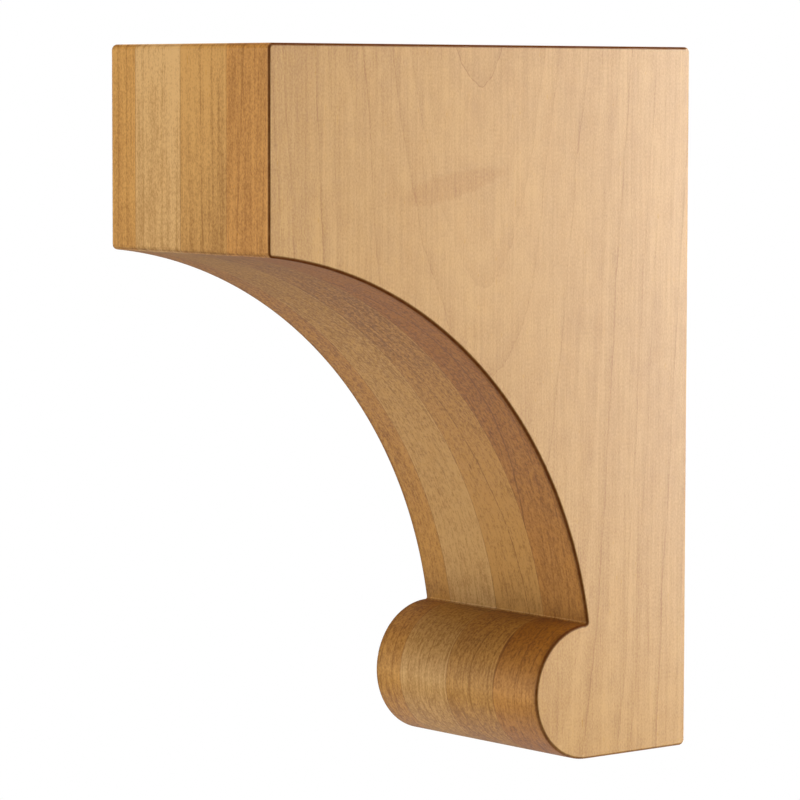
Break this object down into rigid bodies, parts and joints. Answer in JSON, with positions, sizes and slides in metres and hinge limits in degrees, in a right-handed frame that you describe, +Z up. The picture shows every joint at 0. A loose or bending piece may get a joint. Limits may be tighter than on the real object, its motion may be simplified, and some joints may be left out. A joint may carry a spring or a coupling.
{
  "type": "wooden corbel bracket",
  "caption": "Solid wood corbel with a flat front, a deep cove and a half-round foot, fixed flat to a wall to carry a shelf, mantel or worktop edge.",
  "frame": {"origin": "centre of the flat back face, which goes against the wall", "axes": "+Z up, +Y into the wall, -Y out to the front, +X to the right for a person who looks at the front"},
  "size_m": [0.09, 0.191, 0.254],
  "materials": {
    "maple_orange": "clear satin finish, orange tint",
    "maple_pale": "clear satin finish, pale yellow tint",
    "maple_brown": "clear satin finish, mid brown tint",
    "maple_pink": "clear satin finish, pink tint"
  },
  "bodies": {
    "root": {"left_outer_board": "maple_orange", "left_inner_board": "maple_pale", "right_inner_board": "maple_brown", "right_outer_board": "maple_pink"}
  },
  "joints": []
}
